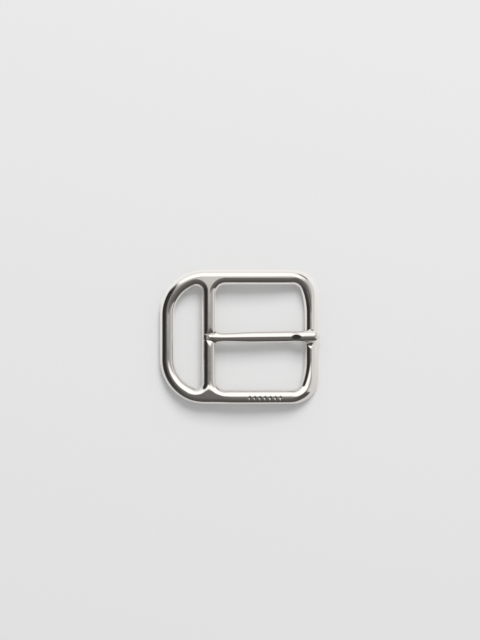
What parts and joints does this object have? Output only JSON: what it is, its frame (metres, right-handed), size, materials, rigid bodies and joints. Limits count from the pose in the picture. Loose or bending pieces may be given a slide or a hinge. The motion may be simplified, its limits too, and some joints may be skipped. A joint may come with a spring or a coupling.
{
  "type": "belt buckle",
  "caption": "Centre-bar belt buckle with a rounded fixed keeper loop and a hinged prong that rests in a notch of the end rail, for a 35 mm strap.",
  "frame": {"origin": "middle of the centre bar, on the prong's hinge axis", "axes": "+X from the bar towards the prong's tip, +Y along the bar, +Z out of the front"},
  "size_m": [0.055, 0.046, 0.0067],
  "materials": {
    "polished_frame": "polished palladium-coloured plating, lightly handled",
    "polished_prong": "polished palladium-coloured plating, with rub marks where it meets its seat"
  },
  "bodies": {
    "frame": {"frame": "polished_frame"},
    "prong": {"prong": "polished_prong"}
  },
  "joints": [
    {"name": "prong_hinge", "type": "hinge", "parent": "frame", "child": "prong", "pos_m": [0, 0, 0], "axis": [0, -1, 0], "range_deg": [0, 160]}
  ]
}
